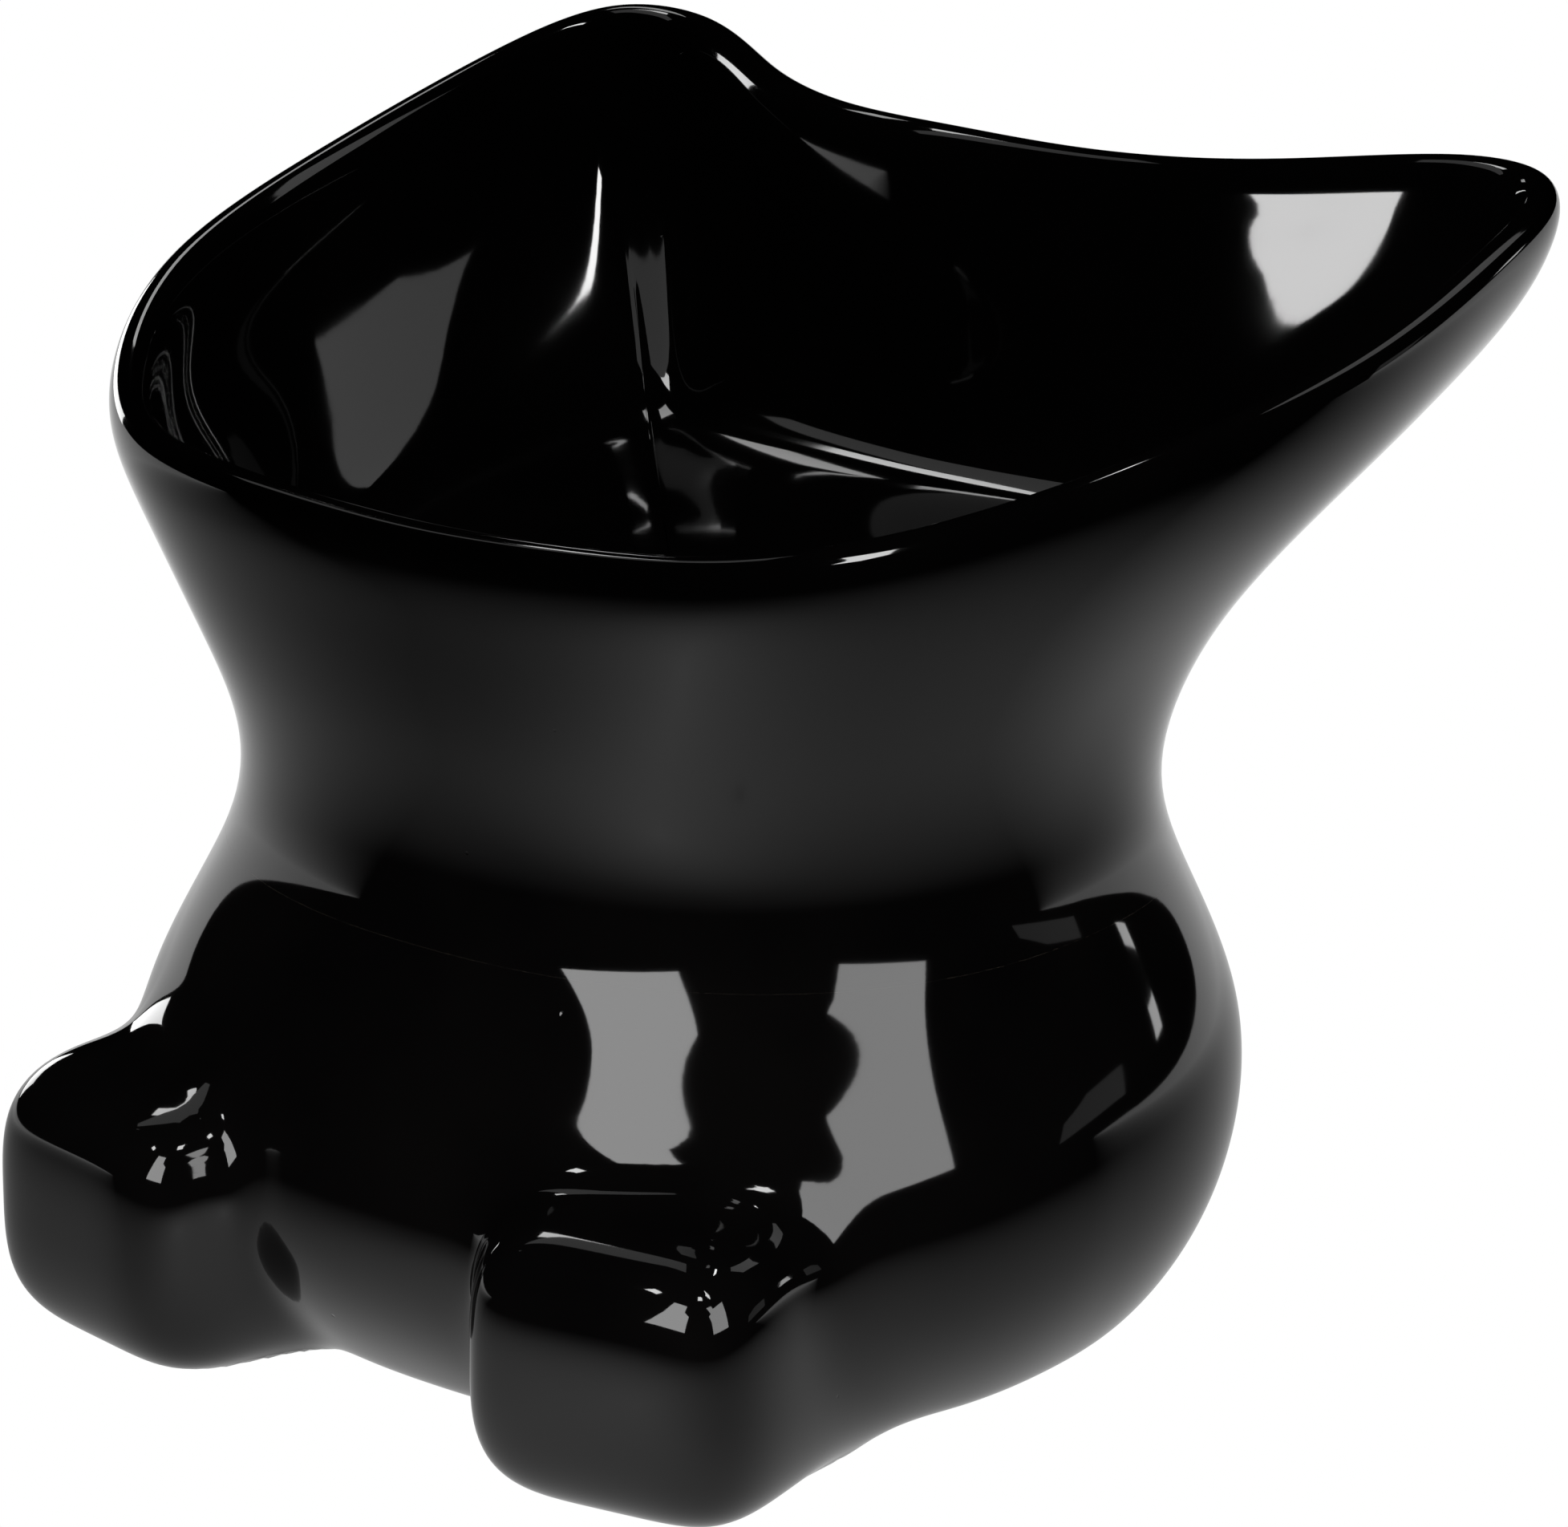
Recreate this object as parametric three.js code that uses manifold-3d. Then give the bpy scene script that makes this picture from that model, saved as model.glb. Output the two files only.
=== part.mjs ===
// Raised ceramic feeding bowl in the shape of a sitting cat.
// Millimetres, +Z up, the cat looks along -Y, its left and right are -X and +X as seen from the front.
// The origin is the middle of the bounding box, on the surface that the four pads stand on.
import * as THREE from "three";
import { mergeVertices } from "three/addons/utils/BufferGeometryUtils.js";
import Module from "manifold-3d";

const wasm = await Module();
wasm.setup();

// ---------------------------------------------------------------- driving dimensions
const AROUND = 60; // points round each ring
const STEPS = 2; // rows between two control rings
const WALL = 5; // thickness of the cast wall
const GAP = 0.3; // luting gap between a paw and the belly
const PAD_HEIGHT = 1;
const PAD_RADIUS = 4.5;
const VENT_RADIUS = 4; // drain hole of the hollow casting
const CENTRE_SHIFT = -1.8; // brings the middle of the depth to y = 0
const DEPTH_RATIO = 0.88; // front-to-back size of a body section, over its width
const SQUARENESS = 2.25; // exponent of the body sections: 2 is an ellipse

// Control points of the rim's right half, from the chin to the middle of the back: x, y, height.
const RIM_HALF = [
  [0, -49.5, 95.5],
  [24, -49, 97],
  [40.5, -45, 97.5],
  [55, -31.5, 100],
  [67.5, -10.5, 105.5],
  [72.5, 21.5, 110],
  [70, 49, 117],
  [67, 65, 120],
  [50.5, 67.5, 120],
  [33, 54.5, 118],
  [16, 47, 118],
  [0, 44.5, 119],
];

// Control rings of the pedestal, from the flat underside up to the neck.
const PEDESTAL_RINGS = [
  { halfWidth: 26, y: -1.6, z: -0.5 },
  { halfWidth: 44, y: -1.6, z: -0.5 },
  { halfWidth: 50.6, y: -1.6, z: 3.8 },
  { halfWidth: 60.2, y: -4.6, z: 17.6 },
  { halfWidth: 59.8, y: -0.2, z: 34.8 },
  { halfWidth: 49.6, y: 1, z: 51.2 },
];
const NECK = PEDESTAL_RINGS[5];
const SEAM_RING = 5; // the dish is joined to the pedestal at this control ring
const UPPER_NECK = { halfWidth: 48.1, y: -0.2, z: 63.6 };

// Control rings of the flare: how far out from neck to rim, how much more of it in front, and how far up.
const FLARE_RINGS = [
  { spread: 0.26, lean: 0.1, rise: 0.49 },
  { spread: 0.81, lean: -0.05, rise: 0.76 },
];

// Control rings of the rolled lip: distance outside the rim line, and height above it.
const LIP_RINGS = [
  { out: 0.3, up: -4 },
  { out: -0.2, up: 0.3 },
  { out: -2.4, up: 1.2 },
  { out: -4.6, up: -0.6 },
  { out: -5.6, up: -6 },
];

// The basin: a floor that tilts up towards the back, with a soft corner to the wall.
const FLOOR = { z: 77, tilt: 0.166, y: -3 };
const WALL_RING = { spread: 0.81, lean: -0.05, rise: 0.76, inset: 6.5 };
const CORNER_RING = { spread: 0.3, inset: 8, lift: 1.5 };
const FLOOR_RINGS = [0.78, 0.4];

// Front paw: a rounded block turned outwards, flat underneath.
const PAW = { x: 31.6, y: -38.9, z: 15.6, halfWidth: 17, halfDepth: 22, halfHeight: 16.4 };
const PAW_TURN = THREE.MathUtils.degToRad(10);
const PAW_PLAN = 4.8; // exponent of the paw's outline from above
const PAW_SIDE = 3.4; // exponent of its outline from the side

const PAD_PLACES = {
  front: { x: 33, y: -44 },
  back: { x: 22, y: 25 },
};

// ---------------------------------------------------------------- materials
const glaze = () => new THREE.MeshStandardMaterial({ color: 0x070707, roughness: 0.06, metalness: 0 });
const silicone = () => new THREE.MeshStandardMaterial({ color: 0x8f9294, roughness: 0.6, metalness: 0 });

// ---------------------------------------------------------------- smooth curves and rings
// Weights of the four neighbouring control values in a uniform cubic B-spline.
function splineWeights(t) {
  const s = 1 - t;
  return [s ** 3 / 6, (3 * t ** 3 - 6 * t ** 2 + 4) / 6, (3 * s ** 3 - 6 * s ** 2 + 4) / 6, t ** 3 / 6];
}

function blend(points, weights) {
  const sum = new THREE.Vector3();
  points.forEach((point, i) => sum.addScaledVector(point, weights[i]));
  return sum;
}

function closedSpline(controls, count) {
  const n = controls.length;
  return Array.from({ length: count }, (_, i) => {
    const place = (i * n) / count;
    const first = Math.floor(place);
    const near = [-1, 0, 1, 2].map((step) => controls[(first + step + n) % n]);
    return blend(near, splineWeights(place - first));
  });
}

// Rows of a surface through control rings; it starts on the first ring and ends on the last.
function ringSpline(rings, steps) {
  const beyond = (a, b) => a.map((point, i) => point.clone().multiplyScalar(2).sub(b[i]));
  const last = rings.length - 1;
  const padded = [beyond(rings[0], rings[1]), ...rings, beyond(rings[last], rings[last - 1])];
  return Array.from({ length: last * steps + 1 }, (_, row) => {
    const first = Math.min(Math.floor(row / steps), last - 1);
    const weights = splineWeights(row / steps - first);
    return rings[0].map((_, i) => blend(padded.slice(first, first + 4).map((ring) => ring[i]), weights));
  });
}

const mirrored = RIM_HALF.slice(1, -1).reverse();
const RIM_CONTROLS = [...RIM_HALF, ...mirrored.map(([x, y, z]) => [-x, y, z])];
const RIM = closedSpline(RIM_CONTROLS.map((point) => new THREE.Vector3(...point)), AROUND);
const HEADINGS = RIM.map((point) => Math.atan2(point.x, -point.y));

// Directions that point out of the rim line, seen from above.
const OUTWARD = RIM.map((_, i) => {
  const along = RIM[(i + 1) % AROUND].clone().sub(RIM[(i + AROUND - 1) % AROUND]);
  return new THREE.Vector3(along.y, -along.x, 0).normalize();
});

// One rounded body section, with a point under each rim point.
function section({ halfWidth, y, z }) {
  return HEADINGS.map((heading) => {
    const across = Math.abs(Math.sin(heading)) / halfWidth;
    const along = Math.abs(Math.cos(heading)) / (halfWidth * DEPTH_RATIO);
    const radius = (across ** SQUARENESS + along ** SQUARENESS) ** (-1 / SQUARENESS);
    return new THREE.Vector3(radius * Math.sin(heading), y - radius * Math.cos(heading), z);
  });
}

const NECK_RING = section(NECK);

// A ring part of the way from the neck to the rim, moved in by inset.
function flareRing({ spread, lean = 0, rise, inset = 0 }) {
  return RIM.map((rim, i) => {
    const out = spread + lean * Math.cos(HEADINGS[i]);
    const point = NECK_RING[i].clone().lerp(rim, out).addScaledVector(OUTWARD[i], -inset);
    point.z = THREE.MathUtils.lerp(NECK.z, rim.z, rise);
    return point;
  });
}

const lipRing = ({ out, up }) => RIM.map((rim, i) => rim.clone().addScaledVector(OUTWARD[i], out).setZ(rim.z + up));
const floorHeight = (y) => FLOOR.z + FLOOR.tilt * y;

function cornerRing() {
  const ring = flareRing({ ...CORNER_RING, rise: 0 });
  return ring.map((point) => point.setZ(floorHeight(point.y) + CORNER_RING.lift));
}

// A ring on the tilted floor, or below it by drop.
function floorRing(scale, drop = 0) {
  return cornerRing().map(({ x, y }) => {
    const depth = FLOOR.y + (y - FLOOR.y) * scale;
    return new THREE.Vector3(x * scale, depth, floorHeight(depth) - drop);
  });
}

// ---------------------------------------------------------------- closed meshes from rings
const flattenBelow = (rows, level) => rows.map((row) => row.map((p) => p.clone().setZ(Math.max(p.z, level))));

// Joins the rows by bands of triangles. A ring at either end is capped, or the last joins the first.
function loft(rows, { looped = false } = {}) {
  const vertices = rows.flat().flatMap((point) => point.toArray());
  const faces = [];
  const bands = looped ? rows.length : rows.length - 1;
  for (let row = 0; row < bands; row++) {
    const lower = row * AROUND;
    const upper = ((row + 1) % rows.length) * AROUND;
    for (let i = 0; i < AROUND; i++) {
      const next = (i + 1) % AROUND;
      faces.push(lower + i, lower + next, upper + next, lower + i, upper + next, upper + i);
    }
  }
  const cap = (row, flipped) => {
    const middle = vertices.length / 3;
    const centre = rows[row].reduce((sum, p) => sum.add(p), new THREE.Vector3()).divideScalar(AROUND);
    vertices.push(...centre.toArray());
    for (let i = 0; i < AROUND; i++) {
      const edge = [row * AROUND + i, row * AROUND + ((i + 1) % AROUND)];
      faces.push(middle, ...(flipped ? edge.reverse() : edge));
    }
  };
  if (!looped) {
    cap(0, true);
    cap(rows.length - 1, false);
  }
  const geometry = new THREE.BufferGeometry();
  geometry.setAttribute("position", new THREE.Float32BufferAttribute(vertices, 3));
  geometry.setIndex(faces);
  return geometry;
}

// The geometry with each corner stored once, and positions only.
function weld(geometry) {
  const bare = geometry.clone();
  bare.deleteAttribute("normal");
  bare.deleteAttribute("uv");
  return mergeVertices(bare, 1e-4);
}

function toSolid(geometry) {
  const merged = weld(geometry);
  return new wasm.Manifold(
    new wasm.Mesh({
      numProp: 3,
      vertProperties: Float32Array.from(merged.attributes.position.array),
      triVerts: Uint32Array.from(merged.index.array),
    }),
  );
}

function toGeometry(solid) {
  const { vertProperties, triVerts } = solid.getMesh();
  const geometry = new THREE.BufferGeometry();
  geometry.setAttribute("position", new THREE.BufferAttribute(vertProperties, 3));
  geometry.setIndex(new THREE.BufferAttribute(triVerts, 1));
  geometry.computeVertexNormals();
  return geometry;
}

// ---------------------------------------------------------------- the pieces
const OUTER_RINGS = [...PEDESTAL_RINGS, UPPER_NECK].map(section);
const DISH_RINGS = [
  ...FLARE_RINGS.map(flareRing),
  ...LIP_RINGS.map(lipRing),
  flareRing(WALL_RING),
  cornerRing(),
  ...FLOOR_RINGS.map((scale) => floorRing(scale)),
  floorRing(0.02),
];
const SKIN = ringSpline([...OUTER_RINGS, ...DISH_RINGS], STEPS);
const SEAM_ROW = SEAM_RING * STEPS;

// The hollow pedestal: outer skin, open top under the dish, drain hole in the bottom.
function pedestal() {
  const outside = flattenBelow(SKIN.slice(0, SEAM_ROW + 1), 0);
  const seam = outside[SEAM_ROW][0].z;
  const inner = (ring, z) => section({ ...ring, halfWidth: ring.halfWidth - WALL, z });
  const [, foot, , belly, shoulder] = PEDESTAL_RINGS;
  const vent = (z) => HEADINGS.map((a) => new THREE.Vector3(VENT_RADIUS * Math.sin(a), -VENT_RADIUS * Math.cos(a), z));
  const inside = [
    inner(NECK, seam),
    inner({ ...shoulder, halfWidth: 57 }, shoulder.z),
    inner({ ...belly, halfWidth: 57 }, belly.z),
    inner(foot, WALL),
    vent(WALL),
    vent(0),
  ];
  return loft([...outside, ...inside], { looped: true });
}

// The dish: outer flare, rolled lip, basin, and the hollow under the basin floor.
function dish() {
  const skin = SKIN.slice(SEAM_ROW);
  const seam = skin[0][0].z;
  const underside = [
    floorRing(0.3, WALL),
    floorRing(0.84, WALL),
    section({ ...NECK, halfWidth: NECK.halfWidth - WALL, z: seam + WALL }),
    section({ ...NECK, halfWidth: NECK.halfWidth - WALL, z: seam }),
  ];
  // The loft runs from the middle of the underside, out over the lip, to the middle of the basin floor.
  return loft([...underside, ...skin]);
}

const signedPower = (value, exponent) => Math.sign(value) * Math.abs(value) ** exponent;

// A paw before it is cut to the belly. side is +1 or -1.
function pawBlock(side) {
  const ball = weld(new THREE.SphereGeometry(1, 28, 16).rotateX(Math.PI / 2));
  const points = ball.attributes.position;
  for (let i = 0; i < points.count; i++) {
    const height = THREE.MathUtils.clamp(points.getZ(i), -1, 1);
    const rise = Math.asin(height);
    const turn = Math.atan2(points.getY(i), points.getX(i));
    const reach = Math.max(Math.cos(rise), 0) ** (2 / PAW_SIDE);
    const x = PAW.halfWidth * reach * signedPower(Math.cos(turn), 2 / PAW_PLAN);
    const y = PAW.halfDepth * reach * signedPower(Math.sin(turn), 2 / PAW_PLAN);
    const z = PAW.z + PAW.halfHeight * signedPower(height, 2 / PAW_SIDE);
    points.setXYZ(i, x, y, Math.max(z, 0));
  }
  return ball.rotateZ(side * PAW_TURN).translate(side * PAW.x, PAW.y, 0);
}

// The space that the pedestal takes, grown by the luting gap and reaching below the paws.
function pedestalSpace() {
  const rows = SKIN.slice(0, SEAM_ROW + 1).map((row, level) =>
    row.map((p, i) => p.clone().addScaledVector(OUTWARD[i], GAP).setZ(level ? p.z : -WALL)),
  );
  return toSolid(loft(rows));
}

const paw = (side) => toGeometry(toSolid(pawBlock(side)).subtract(pedestalSpace()));
const pad = () => new THREE.CylinderGeometry(PAD_RADIUS, PAD_RADIUS, PAD_HEIGHT, 20).rotateX(Math.PI / 2);

// ---------------------------------------------------------------- assembly
function piece(name, geometry, material) {
  const mesh = new THREE.Mesh(geometry, material);
  mesh.name = name;
  return mesh;
}

const bowl = new THREE.Group();
const ceramic = new THREE.Group();
ceramic.position.set(0, CENTRE_SHIFT, PAD_HEIGHT);
ceramic.add(piece("dish", dish(), glaze()), piece("pedestal", pedestal(), glaze()));
for (const [side, word] of [[-1, "left"], [1, "right"]]) {
  ceramic.add(piece(`${word}_paw`, paw(side), glaze()));
  for (const [end, place] of Object.entries(PAD_PLACES)) {
    const foot = piece(`pad_${end}_${word}`, pad(), silicone());
    foot.position.set(side * place.x, place.y + CENTRE_SHIFT, PAD_HEIGHT / 2);
    bowl.add(foot);
  }
}
bowl.add(ceramic);

export default bowl;
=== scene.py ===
"""Looks of a raised feeding bowl shaped like a sitting cat: black glaze over stoneware, on silicone pads."""

import math

import bmesh
import bpy
import numpy as np
from mathutils import Matrix, Vector


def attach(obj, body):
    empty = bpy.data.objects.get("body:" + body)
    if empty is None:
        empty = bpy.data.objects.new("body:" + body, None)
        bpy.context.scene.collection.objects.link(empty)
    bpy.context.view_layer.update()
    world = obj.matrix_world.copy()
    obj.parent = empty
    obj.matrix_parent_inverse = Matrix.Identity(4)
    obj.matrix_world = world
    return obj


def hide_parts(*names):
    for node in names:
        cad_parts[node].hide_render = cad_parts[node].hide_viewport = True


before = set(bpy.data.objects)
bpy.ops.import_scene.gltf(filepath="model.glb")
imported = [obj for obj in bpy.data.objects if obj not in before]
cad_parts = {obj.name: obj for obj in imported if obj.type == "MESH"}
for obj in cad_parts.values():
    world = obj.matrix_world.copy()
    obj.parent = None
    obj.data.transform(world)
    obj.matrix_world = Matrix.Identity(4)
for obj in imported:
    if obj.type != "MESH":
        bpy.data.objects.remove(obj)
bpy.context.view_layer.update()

# ---------------------------------------------------------------- shape, in millimetres
MM = 0.001
AROUND = 288  # points round each ring
STEPS = 8  # rows between two control rings
GRID = 0.9  # mesh size of the body
WALL = 5.0
CAVITY_HALF_WIDTH = 52.0  # the hollow inside the belly, at its widest
PAD_HEIGHT = 1.0
PAD_RADIUS = 4.5
PAD_EDGE = 0.35  # radius of a pad's lower edge
PAD_RIM = 1.55  # distance from a pad's side to its sunken middle
PAD_DISH = 0.12  # depth of that sunken middle
VENT_RADIUS = 4.0  # drain hole in the underside
CENTRE_SHIFT = -1.8  # brings the middle of the depth to y = 0
DEPTH_RATIO = 0.88  # front-to-back size of a body section, over its width
SQUARENESS = 2.25  # exponent of the body sections: 2 is an ellipse
PAW_FILLET = 7.0  # width over which a paw and the belly run into each other

# Control points of the rim's right half, from the chin to the middle of the back: x, y, height.
RIM_HALF = [
    (0, -49.5, 95.5),
    (24, -49, 97),
    (40.5, -45, 97.5),
    (55, -31.5, 100),
    (67.5, -10.5, 105.5),
    (72.5, 21.5, 110),
    (70, 49, 117),
    (67, 65, 120),
    (50.5, 67.5, 120),
    (33, 54.5, 118),
    (16, 47, 118),
    (0, 44.5, 119),
]

# Control rings of the body, from the flat underside up to the neck: half width, middle y, height.
BODY_RINGS = [
    (26, -1.6, -0.5),
    (44, -1.6, -0.5),
    (50.6, -1.6, 3.8),
    (60.2, -4.6, 17.6),
    (59.8, -0.2, 34.8),
    (49.6, 1, 51.2),
]
NECK = BODY_RINGS[5]
SEAM_RING = 5
UPPER_NECK = (48.1, -0.2, 63.6)  # the lowest control ring of the dish
FLARE_RINGS = [(0.26, 0.1, 0.49), (0.81, -0.05, 0.76)]  # out from neck to rim, more in front, and up

# Control rings of the rolled lip: out from the rim line, and up.
LIP_RINGS = [(0.3, -4), (-0.2, 0.3), (-2.4, 1.2), (-4.6, -0.6), (-5.6, -6)]

# The basin: a floor that tilts up towards the back, with a soft corner to the wall.
FLOOR_Z = 77
FLOOR_TILT = 0.166  # rise over depth
FLOOR_Y = -3
WALL_RING = (0.81, -0.05, 0.76, 6.5)  # as the flare, and inset
CORNER_RING = (0.3, 8, 1.5)  # spread, inset and lift above the floor
FLOOR_RINGS = [0.78, 0.4, 0.02]  # scales of the rings towards the middle of the floor

# Front paw: a rounded block turned outwards.
PAW_CENTRE = (31.6, -38.9, 15.6)
PAW_HALF = (17, 22, 16.4)
PAW_TURN = math.radians(10)
PAW_PLAN = 4.8  # exponent of the paw's outline from above
PAW_SIDE = 3.4  # exponent of its outline from the side
PAD_PLACES = {"front": (33, -44), "back": (22, 25)}


# ---------------------------------------------------------------- smooth curves and rings
def spline_weights(t):
    """Weights of the four neighbouring control values in a uniform cubic B-spline."""
    s = 1 - t
    rising = (3 * s**3 - 6 * s**2 + 4) / 6
    falling = (3 * t**3 - 6 * t**2 + 4) / 6
    return np.stack([s**3 / 6, falling, rising, t**3 / 6], -1)


def closed_spline(controls, count):
    place = np.arange(count) * len(controls) / count
    first = np.floor(place).astype(int)
    near = (first[:, None] + np.arange(-1, 3)) % len(controls)
    return np.einsum("ik,ikj->ij", spline_weights(place - first), controls[near])


def ring_spline(rings, steps):
    """Rows of a surface through control rings; it starts on the first ring and ends on the last."""
    rings = np.array(rings)
    before = 2 * rings[0] - rings[1]
    after = 2 * rings[-1] - rings[-2]
    padded = np.concatenate([[before], rings, [after]])
    place = np.arange((len(rings) - 1) * steps + 1) / steps
    first = np.minimum(np.floor(place).astype(int), len(rings) - 2)
    near = first[:, None] + np.arange(4)
    return np.einsum("rk,rkij->rij", spline_weights(place - first), padded[near])


def unit(vectors):
    return vectors / np.linalg.norm(vectors, axis=-1, keepdims=True)


MIRRORED = [(-x, y, z) for x, y, z in RIM_HALF[-2:0:-1]]
RIM = closed_spline(np.array(RIM_HALF + MIRRORED, float), AROUND)
HEADING = np.arctan2(RIM[:, 0], -RIM[:, 1])
ALONG = np.roll(RIM, -1, 0) - np.roll(RIM, 1, 0)
OUTWARD = unit(np.stack([ALONG[:, 1], -ALONG[:, 0], 0 * HEADING], -1))


def section(half_width, y, z):
    """One rounded body section, with a point under each rim point."""
    across = np.abs(np.sin(HEADING)) / half_width
    along = np.abs(np.cos(HEADING)) / (half_width * DEPTH_RATIO)
    radius = (across**SQUARENESS + along**SQUARENESS) ** (-1 / SQUARENESS)
    return np.stack([radius * np.sin(HEADING), y - radius * np.cos(HEADING), z + 0 * radius], -1)


def with_height(ring, z):
    return np.concatenate([ring[:, :2], np.broadcast_to(z, len(ring))[:, None]], 1)


def flare_ring(out, lean, rise, inset=0):
    """A ring part of the way from the neck to the rim, moved in by inset."""
    spread = (out + lean * np.cos(HEADING))[:, None]
    ring = section(*NECK) * (1 - spread) + RIM * spread - OUTWARD * inset
    return with_height(ring, NECK[2] * (1 - rise) + RIM[:, 2] * rise)


def lip_ring(out, up):
    return with_height(RIM + OUTWARD * out, RIM[:, 2] + up)


def floor_height(y):
    return FLOOR_Z + FLOOR_TILT * y


def corner_ring():
    spread, inset, lift = CORNER_RING
    ring = flare_ring(spread, 0, 0, inset)
    return with_height(ring, floor_height(ring[:, 1]) + lift)


def floor_ring(scale, drop=0):
    """A ring on the tilted floor, or below it by drop."""
    ring = corner_ring() * (scale, scale, 1) + (0, FLOOR_Y * (1 - scale), 0)
    return with_height(ring, floor_height(ring[:, 1]) - drop)


def skin_rows():
    rings = [section(*ring) for ring in [*BODY_RINGS, UPPER_NECK]]
    rings += [flare_ring(*ring) for ring in FLARE_RINGS]
    rings += [lip_ring(*ring) for ring in LIP_RINGS]
    rings += [flare_ring(*WALL_RING), corner_ring()]
    rings += [floor_ring(scale) for scale in FLOOR_RINGS]
    return ring_spline(rings, STEPS)


SKIN = skin_rows()
SEAM_ROW = SEAM_RING * STEPS
SEAM = SKIN[SEAM_ROW, 0, 2]


def grid_normals(rows):
    up = np.gradient(rows, axis=0)
    across = np.roll(rows, -1, 1) - np.roll(rows, 1, 1)
    return unit(np.cross(across, up))


# ---------------------------------------------------------------- the body as a smooth field
LEVELS = ring_spline(np.array([*BODY_RINGS, UPPER_NECK], float)[:, None], 400)[:, 0]


def belly_field(p):
    """Negative inside the hollow body's outer surface, positive outside."""
    level = np.maximum(p[..., 2], 0)
    half_width = np.interp(level, LEVELS[:, 2], LEVELS[:, 0])
    middle = np.interp(level, LEVELS[:, 2], LEVELS[:, 1])
    across = np.abs(p[..., 0]) / half_width
    along = np.abs(p[..., 1] - middle) / (half_width * DEPTH_RATIO)
    return ((across**SQUARENESS + along**SQUARENESS) ** (1 / SQUARENESS) - 1) * half_width


def paw_field(p):
    """Negative inside either front paw."""
    x = np.abs(p[..., 0]) - PAW_CENTRE[0]
    y = p[..., 1] - PAW_CENTRE[1]
    z = np.maximum(p[..., 2], 0) - PAW_CENTRE[2]
    across = np.abs(x * math.cos(PAW_TURN) + y * math.sin(PAW_TURN)) / PAW_HALF[0]
    along = np.abs(y * math.cos(PAW_TURN) - x * math.sin(PAW_TURN)) / PAW_HALF[1]
    plan = (across**PAW_PLAN + along**PAW_PLAN) ** (PAW_SIDE / PAW_PLAN)
    return (plan + np.abs(z / PAW_HALF[2]) ** PAW_SIDE) ** (1 / PAW_SIDE) - 1


def gradient(field, p, reach=0.3):
    steps = np.eye(3) * reach
    return np.stack([(field(p + step) - field(p - step)) / (2 * reach) for step in steps], -1)


def distance(field, p):
    return field(p) / np.maximum(np.linalg.norm(gradient(field, p), axis=-1), 1e-3)


def body_field(p):
    """The belly and both paws, run together by a fillet of slip."""
    belly = distance(belly_field, p)
    paws = distance(paw_field, p)
    near = np.maximum(PAW_FILLET - np.abs(belly - paws), 0) / PAW_FILLET
    return np.minimum(belly, paws) - near**3 * PAW_FILLET / 6


def body_net():
    """Points and four-sided faces of the body's outer surface, open above the seam and below the foot."""
    low = np.array([-66.0, -68.0, -2.5])
    high = np.array([66.0, 60.0, SEAM + 2.5])
    counts = np.ceil((high - low) / GRID).astype(int)
    axes = [low[k] + GRID * np.arange(counts[k]) for k in range(3)]
    field = body_field(np.stack(np.meshgrid(*axes, indexing="ij"), -1))
    cells = counts - 1
    total = np.zeros((*cells, 3))
    count = np.zeros(cells)
    quads = []
    for axis in range(3):
        step, u, v = np.roll(np.eye(3, dtype=int), -axis, 0)
        start = field[: counts[0] - step[0], : counts[1] - step[1], : counts[2] - step[2]]
        end = field[step[0] :, step[1] :, step[2] :]
        cut = np.argwhere((start < 0) != (end < 0))
        first = start[tuple(cut.T)]
        last = end[tuple(cut.T)]
        point = cut + (first / (first - last))[:, None] * step
        around = np.stack([cut - u - v, cut - v, cut, cut - u], 1)
        whole = ((around >= 0) & (around < cells)).all((1, 2))
        around = around[whole]
        for k in range(4):
            cell = tuple(around[:, k].T)
            np.add.at(total, cell, point[whole])
            np.add.at(count, cell, 1)
        quad = (around[..., 0] * cells[1] + around[..., 1]) * cells[2] + around[..., 2]
        flipped = first[whole] > 0
        quad[flipped] = quad[flipped][:, ::-1]
        quads.append(quad)
    used, faces = np.unique(np.concatenate(quads), return_inverse=True)
    points = total.reshape(-1, 3)[used] / count.reshape(-1)[used][:, None] * GRID + low
    for _ in range(3):
        slope = gradient(body_field, points)
        points -= slope * (body_field(points) / (slope**2).sum(-1))[:, None]
    return points, faces.reshape(-1, 4)


# ---------------------------------------------------------------- meshes
def placed(points):
    """Shape coordinates in millimetres, as metres in the part's frame."""
    return (np.asarray(points, float) + (0, CENTRE_SHIFT, PAD_HEIGHT)) * MM


def set_normals(mesh, vertex_normals, is_skin):
    """Smooth normals on the skin faces, and flat ones elsewhere."""
    corners = np.zeros(len(mesh.loops), int)
    mesh.loops.foreach_get("vertex_index", corners)
    sizes = np.zeros(len(mesh.polygons), int)
    mesh.polygons.foreach_get("loop_total", sizes)
    flat = np.zeros(3 * len(mesh.polygons))
    mesh.polygons.foreach_get("normal", flat)
    face = np.repeat(np.arange(len(sizes)), sizes)
    normals = np.where(is_skin[face][:, None], vertex_normals[corners], flat.reshape(-1, 3)[face])
    mesh.polygons.foreach_set("use_smooth", np.ones(len(sizes), bool))
    mesh.normals_split_custom_set(normals.tolist())


def band_faces(rows, around):
    """Faces of a tube of rings, with a fan to the middle at each end. The middles are the last two points."""
    i = np.arange(around)
    after = (i + 1) % around
    faces = []
    for row in range(rows - 1):
        low = row * around
        high = low + around
        faces += np.stack([low + i, low + after, high + after, high + i], 1).tolist()
    last = (rows - 1) * around
    faces += [[rows * around, b, a] for a, b in zip(i.tolist(), after.tolist())]
    faces += [[rows * around + 1, last + a, last + b] for a, b in zip(i.tolist(), after.tolist())]
    return faces


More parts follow.
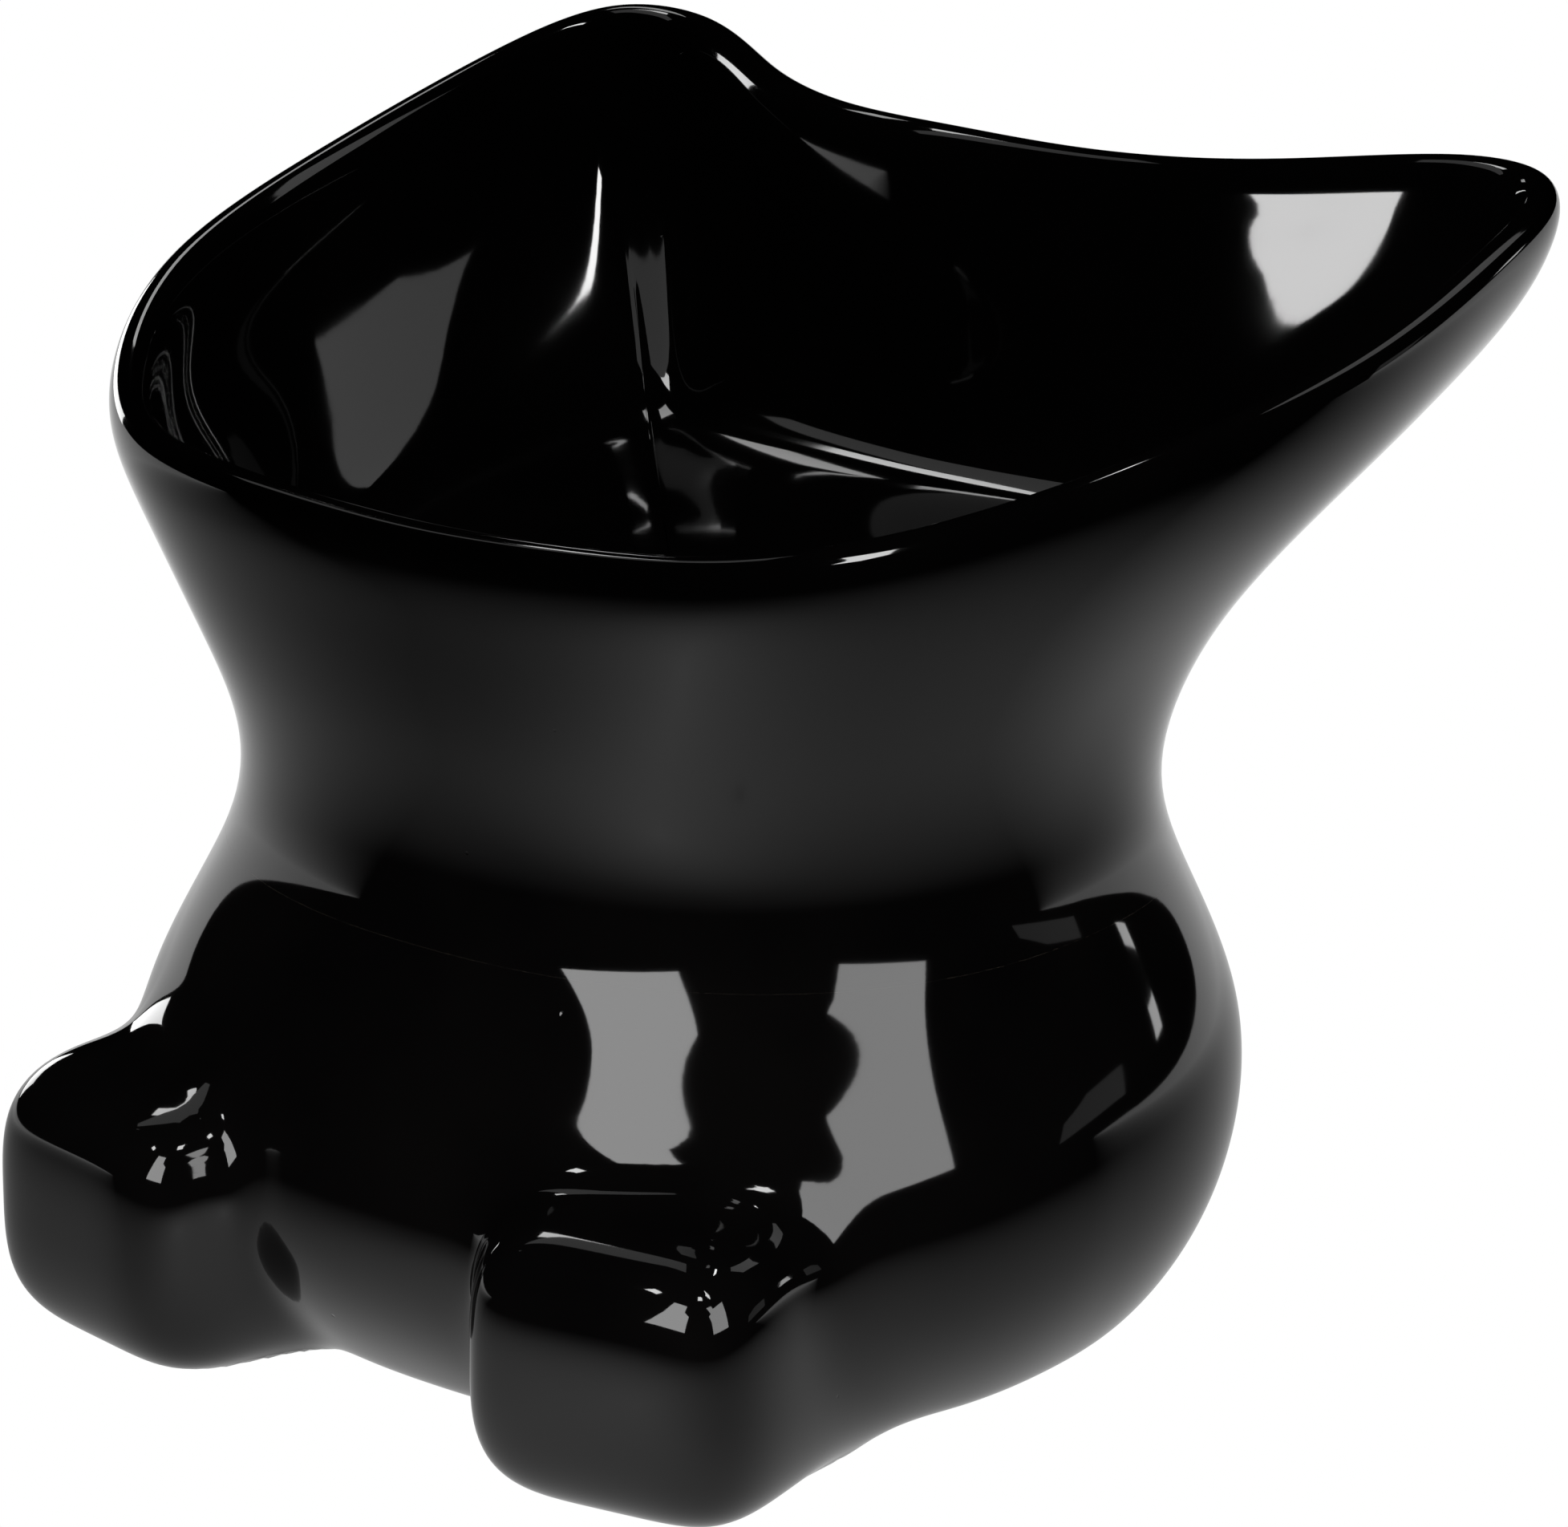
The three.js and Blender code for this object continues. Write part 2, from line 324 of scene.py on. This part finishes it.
def tube_mesh(name, rows):
    rows = np.asarray(rows)
    points = np.concatenate([rows.reshape(-1, 3), [rows[0].mean(0)], [rows[-1].mean(0)]])
    mesh = bpy.data.meshes.new(name)
    mesh.from_pydata(points.tolist(), [], band_faces(len(rows), rows.shape[1]))
    return mesh


def add_piece(name, mesh, materials, nodes):
    piece = bpy.data.objects.new(name, mesh)
    bpy.context.scene.collection.objects.link(piece)
    for material in materials:
        mesh.materials.append(material)
    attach(piece, "root")
    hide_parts(*nodes)
    return piece


def dish_mesh():
    """The dish: outer flare, rolled lip, basin, and the hollow under the basin floor."""
    skin = SKIN[SEAM_ROW:]
    neck_inside = (NECK[0] - WALL, NECK[1])
    underside = [
        floor_ring(0.3, WALL),
        floor_ring(0.84, WALL),
        section(*neck_inside, SEAM + WALL),
        section(*neck_inside, SEAM),
    ]
    rows = np.concatenate([underside, skin])
    mesh = tube_mesh("dish_skin", placed(rows.reshape(-1, 3)).reshape(rows.shape))
    hidden = len(underside) * AROUND
    normals = np.zeros((len(mesh.vertices), 3))
    normals[hidden:-2] = grid_normals(SKIN)[SEAM_ROW:].reshape(-1, 3)
    normals[-1] = unit(np.array([0, -FLOOR_TILT, 1]))
    is_skin = np.array([min(face.vertices) >= hidden for face in mesh.polygons])
    is_skin[-2 * AROUND : -AROUND] = False
    mesh.polygons.foreach_set("material_index", (~is_skin).astype(np.int32))
    set_normals(mesh, normals, is_skin)
    return mesh


def cavity_rings():
    """The hollow inside the body, from the seam down to the drain hole."""
    _, foot, _, belly, shoulder, neck = BODY_RINGS
    turn = np.arange(AROUND // 4) * 8 * math.pi / AROUND
    vent = np.stack([VENT_RADIUS * np.sin(turn), -VENT_RADIUS * np.cos(turn), 0 * turn], -1)
    sections = [
        section(neck[0] - WALL, neck[1], SEAM),
        section(CAVITY_HALF_WIDTH, shoulder[1], shoulder[2]),
        section(CAVITY_HALF_WIDTH, belly[1], belly[2]),
        section(foot[0] - WALL, foot[1], WALL),
    ]
    return [ring[::4] for ring in sections] + [with_height(vent, WALL), vent]


def body_mesh():
    """The hollow body and both paws as one cast piece, with a flat foot and a drain hole."""
    points, faces = body_net()
    bm = bmesh.new()
    outer = [bm.verts.new(point) for point in points]
    for face in faces:
        bm.faces.new([outer[k] for k in face])
    for level, side in ((SEAM, 1), (0, -1)):
        everything = bm.verts[:] + bm.edges[:] + bm.faces[:]
        bmesh.ops.bisect_plane(
            bm, geom=everything, plane_co=(0, 0, level), plane_no=(0, 0, side), clear_outer=True
        )
    skin = set(bm.faces)
    for vertex in bm.verts:
        if abs(vertex.co.z) < 1e-3:
            vertex.co.z = 0
    open_edges = [edge for edge in bm.edges if edge.is_boundary]
    top = [edge for edge in open_edges if edge.verts[0].co.z > SEAM / 2]
    bottom = [edge for edge in open_edges if edge.verts[0].co.z < SEAM / 2]
    rings = [[bm.verts.new(point) for point in ring] for ring in cavity_rings()]
    for upper, lower in zip(rings, rings[1:]):
        for k in range(len(upper)):
            n = (k + 1) % len(upper)
            bm.faces.new((upper[k], upper[n], lower[n], lower[k]))
    inner_open, vent_open = (
        [edge for edge in bm.edges if edge.is_boundary and edge.verts[0] in ring]
        for ring in (set(rings[0]), set(rings[-1]))
    )
    bmesh.ops.triangle_fill(bm, use_beauty=True, edges=top + inner_open, normal=(0, 0, 1))
    bmesh.ops.triangle_fill(bm, use_beauty=True, edges=bottom + vent_open, normal=(0, 0, -1))
    for face in set(bm.faces) - skin:
        face.material_index = 1
    bmesh.ops.recalc_face_normals(bm, faces=bm.faces[:])
    mesh = bpy.data.meshes.new("body_skin")
    bm.to_mesh(mesh)
    bm.free()
    points = np.array([vertex.co for vertex in mesh.vertices])
    normals = unit(gradient(body_field, points))
    is_skin = np.array([face.material_index == 0 for face in mesh.polygons])
    mesh.vertices.foreach_set("co", placed(points).reshape(-1))
    mesh.update()
    set_normals(mesh, normals, is_skin)
    return mesh


def pad_mesh(name, x, y):
    """A moulded pad with a rounded lower edge and a sunken middle."""
    profile = [(PAD_RADIUS, PAD_HEIGHT)]
    for t in np.radians([0, 22, 45, 67, 90]):
        profile.append((PAD_RADIUS - PAD_EDGE * (1 - math.cos(t)), PAD_EDGE * (1 - math.sin(t))))
    inside = PAD_RADIUS - PAD_RIM
    profile += [(inside + 0.15, 0), (inside - 0.15, PAD_DISH), (0.3, PAD_DISH)]
    turn = np.arange(48) * 2 * math.pi / 48
    rows = [np.stack([r * np.cos(turn), r * np.sin(turn), z + 0 * turn], -1) for r, z in profile]
    rows = np.array(rows)[::-1] + (x, y + CENTRE_SHIFT, 0)
    mesh = tube_mesh(name, rows * MM)
    mesh.shade_smooth()
    mesh.set_sharp_from_angle(angle=math.radians(40))
    return mesh


# ---------------------------------------------------------------- materials
GLAZE_THICK = (0.0022, 0.0020, 0.0021)
GLAZE_THIN = (0.0040, 0.0036, 0.0035)
GLAZE_IOR = 1.52
CLAY_DARK = (0.50, 0.42, 0.33)
CLAY_PALE = (0.66, 0.58, 0.48)
SILICONE_DARK = (0.50, 0.51, 0.52)
SILICONE_PALE = (0.60, 0.61, 0.62)


def new_material(name):
    material = bpy.data.materials.new(name)
    material.use_nodes = True
    tree = material.node_tree
    return material, tree, tree.nodes["Principled BSDF"]


def noise(tree, scale, detail=2.0):
    node = tree.nodes.new("ShaderNodeTexNoise")
    node.inputs["Scale"].default_value = scale
    node.inputs["Detail"].default_value = detail
    tree.links.new(part_place(tree), node.inputs["Vector"])
    return node.outputs["Fac"]


def part_place(tree):
    found = tree.nodes.get("place") or tree.nodes.new("ShaderNodeTexCoord")
    found.name = "place"
    return found.outputs["Object"]


def ranged(tree, value, from_low, from_high, to_low, to_high):
    node = tree.nodes.new("ShaderNodeMapRange")
    limits = ("From Min", "From Max", "To Min", "To Max")
    for name, number in zip(limits, (from_low, from_high, to_low, to_high)):
        node.inputs[name].default_value = number
    tree.links.new(value, node.inputs["Value"])
    return node.outputs["Result"]


def ramp(tree, value, stops):
    node = tree.nodes.new("ShaderNodeValToRGB")
    for element, (place, colour) in zip(node.color_ramp.elements, stops):
        element.position = place
        element.color = (*colour, 1)
    tree.links.new(value, node.inputs["Fac"])
    return node.outputs["Color"]


def bump(tree, height, depth, normal=None):
    node = tree.nodes.new("ShaderNodeBump")
    node.inputs["Strength"].default_value = 1.0
    node.inputs["Distance"].default_value = depth
    tree.links.new(height, node.inputs["Height"])
    if normal:
        tree.links.new(normal, node.inputs["Normal"])
    return node.outputs["Normal"]


def pits(tree, scale, size):
    """Small pinholes in the glaze: 1 on the surface, falling to 0 in the middle of each."""
    node = tree.nodes.new("ShaderNodeTexVoronoi")
    node.inputs["Scale"].default_value = scale
    tree.links.new(part_place(tree), node.inputs["Vector"])
    return ranged(tree, node.outputs["Distance"], 0, size, 0, 1)


def glaze_material():
    """Black gloss glaze: a little thinner in patches, with soft waves, orange peel and a few pinholes."""
    material, tree, shader = new_material("black_glaze")
    colour = ramp(tree, noise(tree, 45, 3), [(0.35, GLAZE_THICK), (0.7, GLAZE_THIN)])
    tree.links.new(colour, shader.inputs["Base Color"])
    tree.links.new(ranged(tree, noise(tree, 60), 0.3, 0.7, 0.03, 0.06), shader.inputs["Roughness"])
    shader.inputs["IOR"].default_value = GLAZE_IOR
    waves = bump(tree, noise(tree, 70, 1), 0.00002)
    peel = bump(tree, noise(tree, 420, 2), 0.0000012, waves)
    tree.links.new(bump(tree, pits(tree, 110, 0.035), 0.00006, peel), shader.inputs["Normal"])
    return material


def clay_material():
    """Bare fired clay, on the foot and in the hollow."""
    material, tree, shader = new_material("bare_stoneware")
    grain = noise(tree, 900, 4)
    colour = ramp(tree, grain, [(0.3, CLAY_DARK), (0.75, CLAY_PALE)])
    tree.links.new(colour, shader.inputs["Base Color"])
    shader.inputs["Roughness"].default_value = 0.85
    tree.links.new(bump(tree, grain, 0.00008), shader.inputs["Normal"])
    return material


def silicone_material():
    """Matt, cloudy silicone."""
    material, tree, shader = new_material("silicone")
    colour = ramp(tree, noise(tree, 300, 2), [(0.3, SILICONE_DARK), (0.7, SILICONE_PALE)])
    tree.links.new(colour, shader.inputs["Base Color"])
    shader.inputs["Roughness"].default_value = 0.55
    tree.links.new(bump(tree, noise(tree, 2500, 2), 0.00002), shader.inputs["Normal"])
    return material


# ---------------------------------------------------------------- studio
VIEW_AZIMUTH = math.radians(39.15)
VIEW_ELEVATION = math.radians(18.36)
VIEW_DISTANCE = 0.8308
VIEW_TARGET = Vector((-0.0039, 0.0176, 0.0538))
LENS = 176.9
TABLE_HALF = 12  # half size of the table, in metres
STUDIO_CENTRE = Vector((0, 0, 0.06))
STUDIO_RADIUS = 1.2
LAMP_PLANE = -86  # y of the panel that lights the ear corner
CLOTH_BOTTOM = 104
CLOTH_TOP = 420

# Soft lights: name, strength, and the outline in degrees of azimuth and elevation as the bowl sees it.
LIGHTS = [
    ("softbox_front", 6, [(-11, 12), (17, 12), (21, 30), (15, 34), (17, 42), (0, 42), (-5, 28)]),
    ("softbox_right", 4.5, [(62, 11), (89, 12), (87, 42), (52, 42), (60, 34), (56, 31), (60, 24)]),
    ("lamp_top", 14, [(-24, 45), (-17, 44), (-16, 48), (-22, 49)]),
    ("lamp_top_right", 14, [(35, 52), (45, 52), (45, 57), (35, 57)]),
    ("window_back", 0.8, [(154, 33), (141, 44), (134, 54), (150, 57), (178, 53), (156, 38)]),
    ("window_right", 0.25, [(118, 3), (136, 3), (137, 8), (128, 9), (120, 7)]),
    ("lamp_far_right", 4, [(146, 5.5), (149, 5.5), (150, 8), (147, 8.5)]),
    ("window_left", 0.55, [(-50, 79), (-110, 74), (-98, 62), (-72, 44), (-64, 42), (-56, 60)]),
    ("strip_left", 5, [(-97, 0), (-120, 0), (-120, 13), (-97, 13)]),
    ("tube_high", 20, [(104, 70), (150, 71), (150, 73), (104, 73.5)]),
    ("left_high", 8, [(-86, 52), (-86, 69), (-100, 69), (-97, 52)]),
]
RIM_LIGHT = [(-120, 43), (-130, 43), (-130, 48), (-120, 48)]
RIM_LIGHT_RADIUS = 0.226

# The panel close in front of the bowl: x and z in millimetres.
EAR_LIGHT = [(90, 131), (95, 139), (94, 148), (91, 157), (89, 165), (118, 168), (118, 140), (104, 131)]


def direction(azimuth, elevation):
    """Unit vector from the object outwards; azimuth 0 is in front of the cat."""
    flat = math.cos(elevation)
    return Vector((math.sin(azimuth) * flat, -math.cos(azimuth) * flat, math.sin(elevation)))


def facing(towards):
    """Rotation that turns +Z to face along towards, with +Y up."""
    back = towards.normalized()
    right = Vector((0, 0, 1)).cross(back).normalized()
    return Matrix((right, back.cross(right), back)).transposed()


def add_camera():
    camera = bpy.data.objects.new("camera", bpy.data.cameras.new("camera"))
    outward = direction(VIEW_AZIMUTH, VIEW_ELEVATION)
    place = Matrix.Translation(VIEW_TARGET + outward * VIEW_DISTANCE)
    camera.matrix_world = place @ facing(outward).to_4x4()
    camera.data.lens = LENS
    camera.data.sensor_width = 36
    camera.data.clip_end = 100
    bpy.context.scene.collection.objects.link(camera)
    bpy.context.scene.camera = camera


def stage_mesh(name, points, material):
    mesh = bpy.data.meshes.new(name)
    mesh.from_pydata([tuple(point) for point in points], [], [list(range(len(points)))])
    mesh.materials.append(material)
    piece = bpy.data.objects.new(name, mesh)
    bpy.context.scene.collection.objects.link(piece)
    return piece


def emission_material(name, strength):
    material = bpy.data.materials.new(name)
    material.use_nodes = True
    tree = material.node_tree
    tree.nodes.clear()
    glow = tree.nodes.new("ShaderNodeEmission")
    glow.name = "Emission"
    glow.inputs["Strength"].default_value = strength
    out = tree.nodes.new("ShaderNodeOutputMaterial")
    tree.links.new(glow.outputs[0], out.inputs["Surface"])
    return material


def add_floor():
    """A white table that glows. Its painted light, seen only in reflections, falls off in front of the bowl
    and grows behind it, as the glaze shows; camera rays see it evenly white.
    """
    material = emission_material("white_table_painted_light", 1.0)
    tree = material.node_tree
    glow = tree.nodes["Emission"]
    # Painted light on the table for reflections: a bright pool in front of the bowl, a wide glow round it and
    # a brightening behind it.
    near = painted_light_patch(tree, (0.03, -0.10), (0.11, 0.09))
    behind = tree.nodes.new("ShaderNodeVectorMath")
    behind.operation = "DOT_PRODUCT"
    behind.inputs[1].default_value = -direction(VIEW_AZIMUTH, 0)
    tree.links.new(part_place(tree), behind.inputs[0])
    far = ranged(tree, behind.outputs["Value"], -0.04, 0.22, 0, 1)
    around = painted_light_patch(tree, (0.02, -0.02), (0.27, 0.27))
    painted_table_light = maths(tree, "MULTIPLY_ADD", near, 0.4, maths(tree, "MULTIPLY", around, 0.62))
    painted_table_light = maths(tree, "MULTIPLY_ADD", far, 0.85, painted_table_light)
    # Camera rays see the table evenly white; all other rays see the painted light.
    path = tree.nodes.new("ShaderNodeLightPath")
    tree.links.new(maths(tree, "MAXIMUM", painted_table_light, path.outputs["Is Camera Ray"]), glow.inputs["Strength"])
    corners = [(x * TABLE_HALF, y * TABLE_HALF, 0) for x, y in ((-1, -1), (1, -1), (1, 1), (-1, 1))]
    stage_mesh("floor", corners, material)


def maths(tree, operation, *values):
    node = tree.nodes.new("ShaderNodeMath")
    node.operation = operation
    for socket, value in zip(node.inputs, values):
        if isinstance(value, (int, float)):
            socket.default_value = value
        else:
            tree.links.new(value, socket)
    return node.outputs[0]


def painted_light_patch(tree, middle, size):
    """A soft round patch of painted light on the table: 1 in its middle, 0 at its edge."""
    mapping = tree.nodes.new("ShaderNodeMapping")
    mapping.vector_type = "TEXTURE"
    mapping.inputs["Location"].default_value = (*middle, 0)
    mapping.inputs["Scale"].default_value = (*size, 1)
    tree.links.new(part_place(tree), mapping.inputs["Vector"])
    round_patch = tree.nodes.new("ShaderNodeTexGradient")
    round_patch.gradient_type = "QUADRATIC_SPHERE"
    tree.links.new(mapping.outputs["Vector"], round_patch.inputs["Vector"])
    return round_patch.outputs["Fac"]


def light_panel(name, strength, corners):
    """A glowing panel that only reflections show. With strength 0 it is a black cloth."""
    piece = stage_mesh(name, corners, emission_material(name, strength))
    piece.visible_camera = False


def softbox(name, strength, outline, distance=STUDIO_RADIUS):
    turned = [(math.radians(azimuth), math.radians(elevation)) for azimuth, elevation in outline]
    corners = [direction(*angles) * distance + STUDIO_CENTRE for angles in turned]
    light_panel(name, strength, corners)


def upright_cloth(name, start, end):
    """An upright black cloth that keeps the low lights out of the basin. Its ends are in millimetres."""
    heights = (CLOTH_BOTTOM, CLOTH_BOTTOM, CLOTH_TOP, CLOTH_TOP)
    corners = [Vector((*end, z)) * MM for end, z in zip((start, end, end, start), heights)]
    light_panel(name, 0, corners)


def dark_room():
    """Nothing above the table reflects light, but the room looks white behind the object."""
    world = bpy.data.worlds.new("room")
    world.use_nodes = True
    tree = world.node_tree
    shade = tree.nodes["Background"]
    path = tree.nodes.new("ShaderNodeLightPath")
    tree.links.new(path.outputs["Is Camera Ray"], shade.inputs["Strength"])
    shade.inputs["Color"].default_value = (1, 1, 1, 1)
    bpy.context.scene.world = world


# ---------------------------------------------------------------- assembly
glaze = glaze_material()
clay = clay_material()
silicone = silicone_material()
add_piece("dish_skin", dish_mesh(), [glaze, clay], ["dish"])
add_piece("body_skin", body_mesh(), [glaze, clay], ["pedestal", "left_paw", "right_paw"])
for side, word in ((-1, "left"), (1, "right")):
    for end, (x, y) in PAD_PLACES.items():
        name = f"pad_{end}_{word}"
        add_piece(f"{name}_moulded", pad_mesh(name, side * x, y), [silicone], [name])

add_floor()
dark_room()
for name, strength, outline in LIGHTS:
    softbox(name, strength, outline)
light_panel("ear_light", 14, [Vector((x, LAMP_PLANE, z)) * MM for x, z in EAR_LIGHT])
softbox("rim_light", 3, RIM_LIGHT, RIM_LIGHT_RADIUS)
upright_cloth("front_flag", (-110, -88), (125, -88))
upright_cloth("right_flag", (125, -88), (125, 70))
add_camera()
bpy.context.scene.view_settings.view_transform = "Standard"
